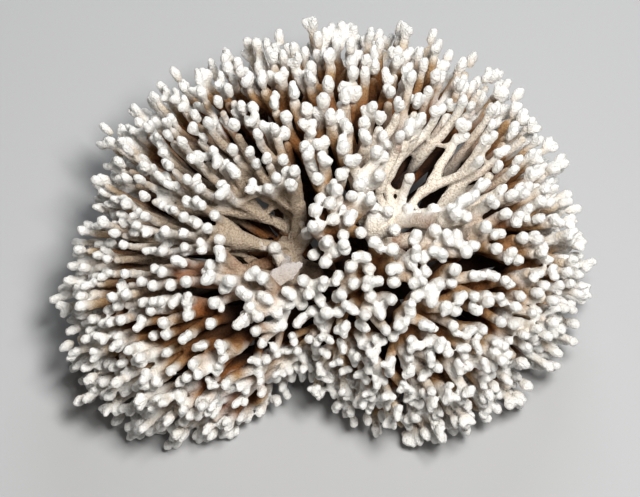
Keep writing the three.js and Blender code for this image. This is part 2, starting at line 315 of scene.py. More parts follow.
def fan_paleness(points, fan):
    """How far points lie in an open fan's cone, whose tip is a way behind the fan's root."""
    azimuth, elevation, spread, _, root = fan
    axis = aim(azimuth, elevation)
    away = unit(points - HEART - root + CONE_BEHIND * axis)
    angle = np.degrees(np.arccos(np.clip(away @ axis, -1, 1)))
    return np.clip((spread + CONE_WIDER - angle) / FAN_EDGE, 0, 1)


def nearest(points, tips):
    """Each point's distance to the nearest tip, or a far one where there are no tips."""
    gap = np.full(len(points), FAR)
    for tip in tips:
        gap = np.minimum(gap, np.linalg.norm(points - tip, axis=1))
    return gap


def fused(name, shells, voxel, tips, finish):
    """One piece from many closed shells: they are fused on a voxel grid and smoothed, then
    roughened along their normals by noise, stronger near the tips, and thinned far below
    them. Each point keeps its depth below the tips and the dome, and its place in the fans."""
    mesh = bpy.data.meshes.new(name + "_raw")
    points, faces, shift = [], [], 0
    for shell, quads, caps in shells:
        points.append(shell)
        faces += (quads + shift).tolist() + (caps + shift).tolist()
        shift += len(shell)
    mesh.from_pydata((np.concatenate(points) * MM).tolist(), [], faces)
    raw = bpy.data.objects.new(name + "_raw", mesh)
    bpy.context.scene.collection.objects.link(raw)
    remesh = raw.modifiers.new("fuse", "REMESH")
    remesh.mode = "VOXEL"
    remesh.voxel_size = voxel * MM
    smooth = raw.modifiers.new("soften", "SMOOTH")
    smooth.factor = 0.5
    smooth.iterations = 2
    graph = bpy.context.evaluated_depsgraph_get()
    done = bpy.data.meshes.new_from_object(raw.evaluated_get(graph))
    bpy.data.objects.remove(raw)
    done.name = name
    count = len(done.vertices)
    place, normal = np.empty(count * 3), np.empty(count * 3)
    done.vertices.foreach_get("co", place)
    done.vertex_normals.foreach_get("vector", normal)
    place, normal = place.reshape(-1, 3) / MM, normal.reshape(-1, 3)
    near_tip = np.clip(1 - nearest(place, tips) / TIP_LUMPS_REACH, 0, 1)
    lift = lumps(place, LUMPS) + near_tip * lumps(place, TIP_LUMPS)
    place = place + normal * lift[:, None]
    place[:, 2] = np.maximum(place[:, 2], 0.0)
    done.vertices.foreach_set("co", (place * MM).ravel())
    rough = bpy.data.objects.new(name + "_rough", done)
    bpy.context.scene.collection.objects.link(rough)
    depth = np.clip((nearest(place, tips) - DETAILED) / DETAILED, 0, 1)
    deep = rough.vertex_groups.new(name="deep")
    for level in range(DEPTH_LEVELS + 1):
        here = np.flatnonzero(np.round(depth * DEPTH_LEVELS) == level)
        share = level / DEPTH_LEVELS
        deep.add(here.tolist(), NEAR_WEIGHT * (1 - share) + share, "REPLACE")
    thin = rough.modifiers.new("thin", "DECIMATE")
    thin.ratio = THINNING
    if len(tips):
        thin.vertex_group = "deep"
        thin.vertex_group_factor = 1.0
    graph = bpy.context.evaluated_depsgraph_get()
    done = bpy.data.meshes.new_from_object(rough.evaluated_get(graph))
    bpy.data.objects.remove(rough)
    done.validate()
    done.name = name
    count = len(done.vertices)
    place = np.empty(count * 3)
    done.vertices.foreach_get("co", place)
    place = place.reshape(-1, 3) / MM
    # These depths darken the finish later: partly stain and partly painted shade.
    out = place - HEART
    below_dome = reach(unit(out)) - np.linalg.norm(out, axis=1) - DOME_MARGIN
    for label, values in (("below_tip", np.clip(nearest(place, tips) / FULL_DEPTH, 0, 1)),
                          ("below_dome", np.clip(below_dome / FULL_DEPTH, 0, 1)),
                          ("right_fan", fan_paleness(place, FANS[0])),
                          ("left_fan", fan_paleness(place, FANS[1]))):
        layer = done.attributes.new(label, "FLOAT", "POINT")
        layer.data.foreach_set("value", values.astype(np.float32))
    done.polygons.foreach_set("use_smooth", np.ones(len(done.polygons), bool))
    done.materials.clear()
    done.materials.append(finish)
    piece = bpy.data.objects.new(name, done)
    bpy.context.scene.collection.objects.link(piece)
    done.update()
    return piece


def tapered(count, stations, first, last, flare=0.0):
    """Radii along a shaft: a straight taper, with a flare that dies away from the start."""
    s = np.linspace(0, 1, stations)
    return np.repeat((first + (last - first) * s + flare * np.exp(-s * FLARE_FADE))[None], count, 0)


def turned(profile, sides=40):
    """A turned shell, flat below: the profile's radius and height go round the Z axis."""
    turn = np.arange(sides) * 2 * np.pi / sides
    ring = np.stack([np.cos(turn), np.sin(turn)], axis=1)
    shell = np.concatenate([
        profile[:, None, :1] * ring[None],
        np.repeat(profile[:, None, 1:], sides, 1)], axis=2)
    corner = np.arange(len(profile) * sides).reshape(len(profile), sides)
    beside = np.roll(corner, -1, axis=1)
    quads = np.stack([corner[:-1], beside[:-1], beside[1:], corner[1:]], axis=-1)
    return shell.reshape(-1, 3), quads.reshape(-1, 4), np.stack([corner[0, ::-1], corner[-1]])


def wandering(paths, amount, salt):
    """Paths swayed sideways by smooth noise, not at all at their two ends."""
    shape = paths.shape
    flat = paths.reshape(-1, 3)
    sway = np.stack([lattice(flat, SWAY_PATCH, salt + k) for k in range(3)], axis=1)
    hold = np.sin(np.linspace(0, np.pi, shape[1]))[None, :, None]
    return paths + sway.reshape(shape) * hold * amount


# The finish is dry, matte, fine-grained aragonite. The growing tips are bleached white, the
# shafts below them cream to beige, and the depths darker, tan brown to near black: partly
# stain and partly painted shade, where light barely reaches between the fingers.
def ramp(tree, source, stops):
    """A colour ramp on a value: pairs of place and colour."""
    node = tree.nodes.new("ShaderNodeValToRGB")
    while len(node.color_ramp.elements) < len(stops):
        node.color_ramp.elements.new(0.5)
    for element, (place, colour) in zip(node.color_ramp.elements, stops):
        element.position = place
        element.color = (*colour, 1.0)
    tree.links.new(source, node.inputs["Fac"])
    return node.outputs["Color"]


def blend(tree, kind, share, first, second):
    """Two colours mixed in a given way by a share."""
    node = tree.nodes.new("ShaderNodeMix")
    node.data_type = "RGBA"
    node.blend_type = kind
    for socket, value in ((node.inputs["Factor"], share), (node.inputs["A"], first),
                          (node.inputs["B"], second)):
        if isinstance(value, bpy.types.NodeSocket):
            tree.links.new(value, socket)
        else:
            socket.default_value = value
    return node.outputs["Result"]


def number(tree, operation, first, second, third=0.0):
    """One step of arithmetic."""
    node = tree.nodes.new("ShaderNodeMath")
    node.operation = operation
    for socket, value in zip(node.inputs, (first, second, third)):
        if isinstance(value, bpy.types.NodeSocket):
            tree.links.new(value, socket)
        else:
            socket.default_value = value
    return node.outputs["Value"]


def noise(tree, coords, scale, detail, roughness=0.5):
    """A noise value from 0 to 1 with about this many patches to the metre."""
    node = tree.nodes.new("ShaderNodeTexNoise")
    node.inputs["Scale"].default_value = scale
    node.inputs["Detail"].default_value = detail
    node.inputs["Roughness"].default_value = roughness
    tree.links.new(coords, node.inputs["Vector"])
    return node.outputs["Fac"]


# The colours from the tips down, the deepest ones partly stain and partly painted shade, then
# the rusty stain, and the left and right fans' shafts.
WHITE, CREAM, BEIGE = (0.94, 0.93, 0.905), (0.69, 0.555, 0.39), (0.43, 0.272, 0.138)
TAN, DEEP_STAIN_AND_SHADE = (0.20, 0.08, 0.024), (0.032, 0.011, 0.003)
RUST, ASH, SHELL = (0.27, 0.08, 0.016), (0.48, 0.39, 0.30), (0.88, 0.81, 0.715)
# How many patches to the metre each noise has.
DRIFT, STAINS, SPECKLE, GRAIN, CELLS = 60, 28, 1150, 900, 1000
# How much a point's depth below the tips and below the dome darkens its colour, partly as
# stain and partly as painted shade, and how much the drift shifts that colour and the white's
# edge.
TIP_STAIN_AND_SHADE, DOME_STAIN_AND_SHADE, SHAFT_DRIFT, WHITE_DRIFT = 0.45, 0.55, 0.2, 0.10
BUMP_DEPTH, DULL, DULLEST, GLOSS = 0.001, 0.78, 0.97, 0.25


def coral_finish(name, worn=None, speckled=1.0):
    """Bleached tips over shafts that darken with depth, partly stained and partly painted shade,
    with a fine, uneven speckle and a sanded grain. A broken face has its own worn colour in
    place of these depth colours and the rusty stain, and less speckle."""
    material = bpy.data.materials.new(name)
    material.use_nodes = True
    tree = material.node_tree
    shader = tree.nodes["Principled BSDF"]
    coords = tree.nodes.new("ShaderNodeTexCoord").outputs["Object"]
    tip = tree.nodes.new("ShaderNodeAttribute")
    tip.attribute_name = "below_tip"
    depth = tree.nodes.new("ShaderNodeAttribute")
    depth.attribute_name = "below_dome"

    drift = noise(tree, coords, DRIFT, 3)
    patches = noise(tree, coords, STAINS, 2)
    uneven = number(tree, "MULTIPLY_ADD", drift, SHAFT_DRIFT, -SHAFT_DRIFT / 2)
    # The shafts darken with depth below the tips and below the dome: partly stain and partly
    # painted shade where light barely reaches.
    nearer = number(tree, "MULTIPLY_ADD", tip.outputs["Fac"], TIP_STAIN_AND_SHADE, uneven)
    stain_and_shade_depth = number(tree, "MULTIPLY_ADD", depth.outputs["Fac"], DOME_STAIN_AND_SHADE, nearer)
    shaft = ramp(tree, stain_and_shade_depth, ((0.10, CREAM), (0.20, BEIGE), (0.34, TAN), (0.54, DEEP_STAIN_AND_SHADE)))
    for attribute, pale in (("right_fan", SHELL), ("left_fan", ASH)):
        fan = tree.nodes.new("ShaderNodeAttribute")
        fan.attribute_name = attribute
        open_shaft = ramp(tree, stain_and_shade_depth, ((0.1, pale), (0.75, pale), (0.95, TAN)))
        shaft = blend(tree, "MIX", fan.outputs["Fac"], shaft, open_shaft)
    rusty = ramp(tree, patches, ((0.60, (0, 0, 0)), (0.72, (0.75, 0.75, 0.75))))
    shaft = blend(tree, "MIX", rusty, shaft, (*RUST, 1.0))
    if worn:
        shaft = ramp(tree, drift, ((0.3, worn), (0.8, ASH)))
    fade = number(tree, "MULTIPLY_ADD", drift, WHITE_DRIFT, -WHITE_DRIFT / 2)
    whiteness = number(tree, "ADD", tip.outputs["Fac"], fade)
    cover = ramp(tree, whiteness, ((0.05, (1, 1, 1)), (0.19, (0, 0, 0))))
    colour = blend(tree, "MIX", cover, shaft, (*WHITE, 1.0))

    speckle = noise(tree, coords, SPECKLE, 3, 0.7)
    pits = ramp(tree, speckle, (
        (0.36, (0.60, 0.52, 0.44)), (0.52, (1, 1, 1)), (0.66, (1.08, 1.06, 1.02))))
    bare = ramp(tree, whiteness, ((0.08, (0.15, 0.15, 0.15)), (0.25, (1, 1, 1))))
    bare = number(tree, "MULTIPLY", bare, speckled)
    colour = blend(tree, "MULTIPLY", bare, colour, pits)
    tree.links.new(colour, shader.inputs["Base Color"])

    cells = tree.nodes.new("ShaderNodeTexVoronoi")
    cells.inputs["Scale"].default_value = CELLS
    tree.links.new(coords, cells.inputs["Vector"])
    fine = noise(tree, coords, GRAIN, 4, 0.65)
    cups = number(tree, "MULTIPLY", cells.outputs["Distance"], 0.5)
    height = number(tree, "MULTIPLY_ADD", fine, 0.9, cups)
    bump = tree.nodes.new("ShaderNodeBump")
    bump.inputs["Strength"].default_value = 1.0
    bump.inputs["Distance"].default_value = BUMP_DEPTH
    tree.links.new(height, bump.inputs["Height"])
    tree.links.new(bump.outputs["Normal"], shader.inputs["Normal"])
    rough = tree.nodes.new("ShaderNodeMapRange")
    rough.inputs["To Min"].default_value = DULL
    rough.inputs["To Max"].default_value = DULLEST
    tree.links.new(fine, rough.inputs["Value"])
    tree.links.new(rough.outputs["Result"], shader.inputs["Roughness"])
    shader.inputs["Specular IOR Level"].default_value = GLOSS
    return material


# The foot and most of the limbs lie deep below any tip, so they take the darkest colours: partly
# stain and partly painted shade.
core_finish = coral_finish("coral_core")
limb_start = np.repeat(ROOT[None], LIMB_COUNT, 0)
limb_paths = wandering(shaft_paths(
    limb_start, limb_end, unit(limb_end - ROOT), limb_way, 0.0, STATIONS), LIMB_SWAY, 21)
limb_stubs = limb_paths[:, :STUB_STATIONS]
holdfast = fused("holdfast_skin", [
    turned(FOOT),
    tubes(limb_stubs, tapered(LIMB_COUNT, STUB_STATIONS, *STUB_RADII))],
    CORE_VOXEL, [], core_finish)
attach(holdfast, "root")
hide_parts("holdfast")


# ---------------------------------------------------------------------------------------
# The limbs: eleven thick main stems. They are the oldest, deepest part of the colony and
# the darkest, partly stained and partly painted shade, and the branches leave them all along
# their outer half.
# ---------------------------------------------------------------------------------------
def points_on(paths, owner, share):
    """The point and the direction at a share of each owner's path, by straight steps."""
    place = np.clip(share, 0, 0.999) * (paths.shape[1] - 1)
    low = place.astype(int)
    part = (place - low)[:, None]
    first, second = paths[owner, low], paths[owner, low + 1]
    return first + (second - first) * part, unit(second - first)


def offshoots(paths, owner, parent_way, way, end, pull, follow, stations, arriving):
    """Shafts that leave their parents at a share of its length: the straightest at its end,
    and the more the others turn off it, the earlier, so that all forks open narrowly."""
    off = np.linalg.norm(way - parent_way[owner], axis=1)
    widest, least = np.zeros(len(paths)), np.full(len(paths), 2.0)
    np.maximum.at(widest, owner, off)
    np.minimum.at(least, owner, off)
    turned_off = (off - least[owner]) / np.maximum(widest - least, 0.05)[owner]
    start, leaving = points_on(paths, owner, 1 - pull * turned_off)
    return shaft_paths(start, end, leaving, arriving, follow, stations)


LIMB_RADII, FORK_RADII, FORK_STATIONS = (6.2, 5.0), (4.9, 4.3, 0.6), 5
# The limbs that carry the open fans are slimmed to these shares of that.
FAN_LIMB_SLIM = (0.64, 0.68)
# How far back along a limb its branches leave, in the open fans and elsewhere.
FAN_LIMB_PULL, LIMB_PULL, LIMB_FOLLOW, BRANCH_SWAY = 0.1, 0.45, 0.5, 1.2
# The limb under an open fan is bleached round a spot this far ahead of its end.
PALE_AHEAD = 14
in_fan = np.isin(limb_of, [fan[3] for fan in FANS])


def branches_off_limbs(arriving):
    """The branches' paths from their limbs, each arriving along its own given way."""
    pull = np.where(in_fan, FAN_LIMB_PULL, LIMB_PULL)
    paths = offshoots(limb_paths, limb_of, limb_way, branch_way, branch_end,
                      pull, LIMB_FOLLOW, STATIONS, arriving)
    return wandering(paths, BRANCH_SWAY, 31)


fork_paths = branches_off_limbs(branch_way)[:, :FORK_STATIONS]
fan_limbs = {fan[3]: slim for fan, slim in zip(FANS, FAN_LIMB_SLIM)}
for limb in range(LIMB_COUNT):
    forks = fork_paths[limb_of == limb]
    slim = fan_limbs.get(limb, 1.0)
    pale_spots = [limb_end[limb] + PALE_AHEAD * aim(*fan[:2]) for fan in FANS if fan[3] == limb]
    piece = fused(f"limb_{limb + 1:02d}_skin", [
        tubes(limb_paths[limb:limb + 1], tapered(1, STATIONS, LIMB_RADII[0], LIMB_RADII[1] * slim)),
        tubes(forks, tapered(len(forks), FORK_STATIONS, *FORK_RADII) * slim)],
        CORE_VOXEL, pale_spots, core_finish)
    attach(piece, "root")
    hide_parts(f"limb_{limb + 1:02d}")


# ---------------------------------------------------------------------------------------
# The branches: each carries a spray of shoots, and these the fingers, every finger ending
# in one to four blunt lobes. In the two clearings the fingers are short bare stubs, and
# where shafts run close beside each other in the open fans, thin bridges have grown.
# ---------------------------------------------------------------------------------------
# Radii at a shaft's start and end, and its flare where it leaves its parent.
BRANCH_RADII, SHOOT_RADII, FINGER_RADII = (4.4, 3.6), (3.5, 3.0, 0.5), (3.2, 2.75, 0.5)
# How much slimmer they are in the right and in the left open fan. All are slimmer too where
# the dome is nearer than this, down to a least share.
BRANCH_SLIM, SHOOT_SLIM, FINGER_SLIM = (0.42, 0.45), (0.36, 0.42), (0.2, 0.26)
NEAR_DOME, LEAST_SLIM = 88, 0.68
# They lean towards the light that fell on the colony's front, and the more so on its crown,
# where they point high or the rim is near.
LEAN, LEAN_WAY, LEAN_FROM, LEAN_FADE = 0.5, aim(-90, 30), 0.5, 0.6
CROWN_LEAN, CROWN_WAY, CROWN_MIDDLE = 0.9, aim(-87, 60), aim(-87, 35)
CROWN_BASE, CROWN_RISE, NEAR_RIM, RIM_SPAN = 0.35, 2.2, 100, 60
BRANCH_LEAN, SHOOT_LEAN = 0.4, 0.8
FINGER_VOXEL = 0.8
finger_finish = coral_finish("coral_fingers")
rng = np.random.default_rng(5)
# A broken flake of skeleton stands at the root of the left fan, and fingers keep clear of it.
FLAKE_FROM, FLAKE_TO = HEART + (-34, -28, 53), HEART + (-21, -20, 54)
FLAKE_MIDDLE, FLAKE_FACE, FLAKE_ROOM = (FLAKE_FROM + FLAKE_TO) / 2, aim(-90, 62), 8.5


def leaned(way):
    """The dome's upright direction, turned partly towards the light."""
    front = np.clip((LEAN_FROM - way[:, 1:2]) / LEAN_FADE, 0, 1)
    rim = rim_reach(np.arctan2(way[:, 1], way[:, 0]))
    high = np.clip(CROWN_BASE + CROWN_RISE * way[:, 2] + (NEAR_RIM - rim) / RIM_SPAN, 0, 1)
    crown = (CROWN_LEAN * high * np.maximum(way @ CROWN_MIDDLE, 0) ** 2)[:, None]
    return unit(unit(outward(way) + LEAN * front * LEAN_WAY) * (1 - crown) + CROWN_WAY * crown)


def rimward(way, step, start):
    """How far out towards the rim directions point: the length of their level part,
    counted in steps, past a start, from 0 to 1."""
    return np.clip(np.hypot(way[:, 0], way[:, 1]) / step - start, 0, 1)


# Twigs for the gaps: directions all over the dome, added to the planned ones.
FILLERS = 3000
filler_azimuth = rng.uniform(-np.pi, np.pi, FILLERS)
filler_height = rng.uniform(LOWEST, 1, FILLERS)
filler_droop = np.radians(RIM_DROOP + FRONT_DROOP * np.maximum(0, -np.sin(filler_azimuth)))
fillers = aim(np.degrees(filler_azimuth), np.degrees(np.arcsin(filler_height)))
fillers = fillers[np.arcsin(filler_height) >= -filler_droop]
twig_way = np.concatenate([ways, fillers])
twig_reach = reach(twig_way)
twig_lack = np.concatenate([lacks, rng.uniform(*LACK, len(fillers))])
# Right at the rim some fingers stand out past the rest, though not the ones that hang low.
PROUD, PROUD_SHARE, PROUD_SPREAD, PROUD_RIM = 7.0, 0.3, 0.6, (0.1, 8.8)
HANGING, HANG_FADE = 0.3, 0.15
proud = np.random.default_rng(8).random(len(twig_way)) / PROUD_SHARE
proud = np.where(proud < 1, 1 - PROUD_SPREAD * proud, 0)
proud = proud * np.clip((twig_way[:, 2] + HANGING) / HANG_FADE, 0, 1)
twig_lack -= PROUD * proud * rimward(twig_way, *PROUD_RIM)
# In the clearings most fingers are missing, and the few that grew are stubs.
STUB_EDGE, LOW_HEIGHT = 0.94, 0.25
twig_shoot = np.argmax(twig_way @ ways[:SHOOT_COUNT].T, axis=1)
stubby = openness(twig_way * twig_reach[:, None]) < STUB_EDGE
stubs = stubby[:FINGER_COUNT] & (np.arange(FINGER_COUNT) % STUB_EVERY == 0)
twig_length = twig_reach - twig_lack
twig_length[:FINGER_COUNT][stubs] = (reaches * stub_shares)[stubs]
twig_end = twig_way * twig_length[:, None]
twig_tip_way = leaned(twig_way)
low_down = np.clip(1 - twig_way[:, 2] / LOW_HEIGHT, 0, 1)

# Most fingers end in one lobe, and those low on the front in a tuft of up to four. The more
# lobes, the more room a finger takes, mostly across its neighbours and less along them.
LOBE_ROOM = np.array([6.6, 8.2, 9.0, 9.6])
# The luck that each further lobe needs, and how much less of it among the tufts.
LOBE_LUCK = ((0.66, 0.5), (0.95, 0.55), (1.08, 0.45))
TUFT_WAY, BACK_TUFTS, BACK_RISE, BACK_FROM = aim(-85, 22), 0.35, 2, 0.9
# Fingers stand wider apart towards the back, and closer on the upper front. Room along
# their own line counts for less than room across it.
BACK_ROOM, BACK_SPAN, CLOSER, CLOSER_WAY = 0.14, 0.6, 0.13, aim(-85, 48)
ALONG_EASE = 0.5
luck = rng.random(len(twig_way))
tuft = np.maximum(twig_way @ TUFT_WAY, 0) ** 5
tuft = tuft + BACK_TUFTS * np.clip(twig_way[:, 1] * BACK_RISE - BACK_FROM, 0, 1)
kinds = sum((luck > rare - less * tuft).astype(int) for rare, less in LOBE_LUCK)
kinds[stubby] = 0
twig_room = LOBE_ROOM[kinds] * (1 + BACK_ROOM * np.clip(twig_way[:, 1] / BACK_SPAN, -0.6, 1))
twig_room *= 1 - CLOSER * np.maximum(twig_way @ CLOSER_WAY, 0) ** 5
grown = []
for i in np.concatenate([np.flatnonzero(stubs), np.flatnonzero(~stubby)]):
    apart = twig_end[grown] - twig_end[i]
    along = apart @ twig_tip_way[i]
    across_gap = np.sqrt(np.maximum(np.sum(apart ** 2, axis=1) - ALONG_EASE * along ** 2, 0))
    from_flake = twig_end[i] + HEART - FLAKE_MIDDLE
    aside = np.linalg.norm(from_flake - FLAKE_FACE * (from_flake @ FLAKE_FACE))
    if aside >= FLAKE_ROOM and np.all(across_gap >= (twig_room[grown] + twig_room[i]) / 2):
        grown.append(i)
grown = np.array(grown)

# How far back along their parents the shoots, the fingers and the stubs leave them, how
# closely they follow them at first, and how much they sway.
SHOOT_PULL, FINGER_PULL, FAN_FINGER_PULL, STUB_PULL = 0.6, 0.8, 0.45, 0.5
SHOOT_FOLLOW, SHOOT_SWAY, FINGER_SWAY = 0.7, 1.0, 0.6
STUB_STEM, STEM = 6.0, (9, 14)
branch_paths = branches_off_limbs(unit(branch_way + BRANCH_LEAN * leaned(branch_way)))
shoot_paths = wandering(offshoots(
    branch_paths, branch_of, branch_way, shoot_way, shoot_end,
    SHOOT_PULL, SHOOT_FOLLOW, STATIONS, unit(shoot_way + SHOOT_LEAN * leaned(shoot_way))),
    SHOOT_SWAY, 41)
grown_inside = stubby[grown]
grown_shoot = twig_shoot[grown]
grown_branch = branch_of[grown_shoot]
grown_way = twig_way[grown]
stem = np.where(grown_inside, STUB_STEM, rng.uniform(*STEM, len(grown)))
tip_way = twig_tip_way[grown]
finger_tip = HEART + twig_end[grown]
finger_base = finger_tip - tip_way * stem[:, None]
on_shoot = offshoots(
    shoot_paths, grown_shoot, shoot_way, grown_way, finger_base,
    FINGER_PULL - FAN_FINGER_PULL * fan_share(grown_way), SHOOT_FOLLOW, STATIONS, tip_way)
on_branch = offshoots(
    branch_paths, grown_branch, branch_way, grown_way, finger_base,
    STUB_PULL, SHOOT_FOLLOW, STATIONS, tip_way)
finger_paths = wandering(
    np.where(grown_inside[:, None, None], on_branch, on_shoot), FINGER_SWAY, 51)


def slimness(way, in_right, in_left):
    """Shafts are slimmer where the dome is near, and by a share of their own in each fan."""
    right, left = fan_shares(way)
    near = np.clip(reach(way) / NEAR_DOME, LEAST_SLIM, 1)
    return (1 - in_right * right - in_left * left) * near


# For fingers of one to four lobes: each lobe's radius, how far it stands aside from the
# finger's line, and how much shorter than the first lobe it may be.
LOBE_RADII = np.array([3.1, 2.7, 2.5, 2.4])
LOBE_SPREAD = np.array([0.0, 2.1, 2.7, 3.2])
LOBE_DROP = np.array([0.0, 3.4, 2.4, 2.2])
LOBE_LENGTH, LOBE_FOLLOW, MIDDLE_SPREAD = 7.5, 0.8, 0.3
# How much its turn round the finger, its spread and its radius vary.
TURN_PLAY, SPREAD_PLAY, RADIUS_PLAY = (-0.5, 0.5), (0.85, 1.1), (0.92, 1.08)
# A lobe starts as thick as its finger, swells a little and narrows at its rounded end. Its
# own radius is slimmed only partly with its finger's.
LOBE_OWN = 0.6
LOBE_SHARE = np.array([0, 0.3, 0.6, 0.85, 1, 1, 1])
LOBE_SWELL = np.array([1, 1, 1, 1.01, 1.02, 0.98, 0.86])
lobes = kinds[grown] + 1
across = unit(np.cross(tip_way, [0.1, 0.2, 1.0]))
other = np.cross(tip_way, across)
twist = rng.uniform(0, 2 * np.pi, len(grown))
lobe_owner, lobe_tip = [], []
for k in range(len(LOBE_RADII)):
    has = np.flatnonzero(lobes > k)
    kind = lobes[has] - 1
    # In a tuft of three or four the first lobe is the middle one, and the rest go round it.
    around = np.where(kind > 1, kind, kind + 1)
    angle = twist[has] + 2 * np.pi * k / around + rng.uniform(*TURN_PLAY, len(has))
    wide = LOBE_SPREAD[kind] * rng.uniform(*SPREAD_PLAY, len(has))
    wide = np.where((k == 0) & (kind > 1), MIDDLE_SPREAD * wide, wide)
    low = LOBE_RADII[kind] + rng.random(len(has)) * LOBE_DROP[kind] * (k > 0)
    sideways = across[has] * np.cos(angle)[:, None] + other[has] * np.sin(angle)[:, None]
    lobe_tip.append(finger_tip[has] - tip_way[has] * low[:, None] + sideways * wide[:, None])
    lobe_owner.append(has)
lobe_owner, lobe_tip = np.concatenate(lobe_owner), np.concatenate(lobe_tip)
lobe_way = tip_way[lobe_owner]
lobe_length = np.where(grown_inside, STUB_STEM, LOBE_LENGTH)[lobe_owner, None]
lobe_base = finger_tip[lobe_owner] - lobe_way * lobe_length
lobe_paths = shaft_paths(
    lobe_base, lobe_tip, unit(lobe_tip - lobe_base), lobe_way, LOBE_FOLLOW, len(LOBE_SHARE))
lobe_luck = rng.uniform(*RADIUS_PLAY, (len(lobe_owner), 1))
lobe_radius = LOBE_RADII[lobes[lobe_owner] - 1][:, None] * lobe_luck
# Out at the rim the fingers are slimmer, and their tips slimmer still.
RIM_SLIM, RIM_TIP_SLIM, RIM_STEPS, LOW_SLIM = 0.16, 0.16, (0.3, 2.2), 0.1
at_rim = rimward(grown_way, *RIM_STEPS)
lobe_radius *= 1 - RIM_TIP_SLIM * at_rim[lobe_owner, None]
finger_slim = slimness(grown_way, *FINGER_SLIM) * (1 - LOW_SLIM * low_down[grown])
finger_slim = finger_slim * (1 - RIM_SLIM * at_rim)
finger_widths = tapered(len(grown), STATIONS, *FINGER_RADII) * finger_slim[:, None]
lobe_slim = (LOBE_OWN + (1 - LOBE_OWN) * finger_slim[lobe_owner])[:, None]
finger_end = finger_widths[lobe_owner, -1:]
lobe_widths = finger_end * (1 - LOBE_SHARE) + lobe_radius * lobe_slim * LOBE_SHARE * LOBE_SWELL

# Some fingers, and more of those low down, have a small side bud a little below the tip.
BUD_SHARE, LOW_BUD_SHARE, BUD_PLACE, BUD_LENGTH = 0.25, 0.5, (0.72, 0.98), 6.5
BUD_AHEAD, BUD_ASIDE, BUD_FOLLOW, BUD_RADII, BUD_STATIONS = 0.85, 0.6, 0.3, (1.9, 1.95), 6
bud_luck = rng.random(len(grown))
budding = np.flatnonzero(
    (bud_luck < BUD_SHARE + LOW_BUD_SHARE * low_down[grown]) & ~grown_inside)
bud_turn = rng.uniform(0, 2 * np.pi, len(budding))[:, None]
bud_side = across[budding] * np.cos(bud_turn) + other[budding] * np.sin(bud_turn)
bud_start, bud_ahead = points_on(finger_paths, budding, rng.uniform(*BUD_PLACE, len(budding)))
bud_tip = bud_start + BUD_LENGTH * unit(BUD_AHEAD * bud_ahead + BUD_ASIDE * bud_side)
bud_paths = shaft_paths(bud_start, bud_tip, bud_ahead, bud_ahead, BUD_FOLLOW, BUD_STATIONS)


def bridge_ends(points, owner, least, most, apart, count):
    """Pairs of points on two shafts, at least and at most so far from each other, chosen
    in a random order so that no two pairs have their middles close together."""
    gap = np.linalg.norm(points[:, None] - points[None], axis=2)
    linked = (gap > least) & (gap < most) & (owner[:, None] != owner[None])
    first, second = np.nonzero(np.triu(linked))
    middle = (points[first] + points[second]) / 2
    free = np.ones(len(first), bool)
    chosen = []
    for k in rng.permutation(len(first)):
        if free[k] and len(chosen) < count:
            chosen.append(k)
            free &= np.linalg.norm(middle - middle[k], axis=1) > apart
    return first[chosen], second[chosen]


# In the open fans, thin bridges have grown where two shafts run close beside each other.
# For the right and the left fan: the bridges' radius, their longest, and how many.
BRIDGES, SHORTEST_BRIDGE, BRIDGE_ROOM = ((1.5, 10.5, 30), (2.0, 10.0, 50)), 6.0, 7.0
# They grow well inside a fan, near its clearing, and not too close to the heart.
BRIDGE_INSIDE, BRIDGE_OPEN, BRIDGE_FROM = 0.4, 1.7, 30
BRIDGE_BOW, BRIDGE_STATIONS, BRIDGE_WAIST = 0.5, 7, 0.3
shafts = np.concatenate([branch_paths, shoot_paths, finger_paths])
shaft_branch = np.concatenate([np.arange(BRANCH_COUNT), branch_of, grown_branch])
spot = shafts[:, 2:-2].reshape(-1, 3)
spot_owner = np.repeat(np.arange(len(shafts)), shafts.shape[1] - 4)
spot_way = unit(spot - HEART)
bridge_paths, bridge_radius, bridge_branch = [], [], []
for share, (radius, longest, count) in zip(fan_shares(spot_way), BRIDGES):
    near = np.flatnonzero(
        (share > BRIDGE_INSIDE)
        & (openness(spot_way * reach(spot_way)[:, None]) < BRIDGE_OPEN)
        & (np.linalg.norm(spot - HEART, axis=1) > BRIDGE_FROM))
    first, second = bridge_ends(
        spot[near], spot_owner[near], SHORTEST_BRIDGE, longest, BRIDGE_ROOM, count)
    first, second = near[first], near[second]
    straight = unit(spot[second] - spot[first])
    bowed = unit(straight + BRIDGE_BOW * spot_way[first])
    bridge_paths.append(shaft_paths(
        spot[first], spot[second], straight, bowed, 0.0, BRIDGE_STATIONS))
    bridge_radius.append(np.full(len(first), radius))
    bridge_branch.append(shaft_branch[spot_owner[first]])
bridge_paths, bridge_radius, bridge_branch = (
    np.concatenate(values) for values in (bridge_paths, bridge_radius, bridge_branch))
waist = 1 + BRIDGE_WAIST * np.cos(np.linspace(0, 2 * np.pi, BRIDGE_STATIONS))

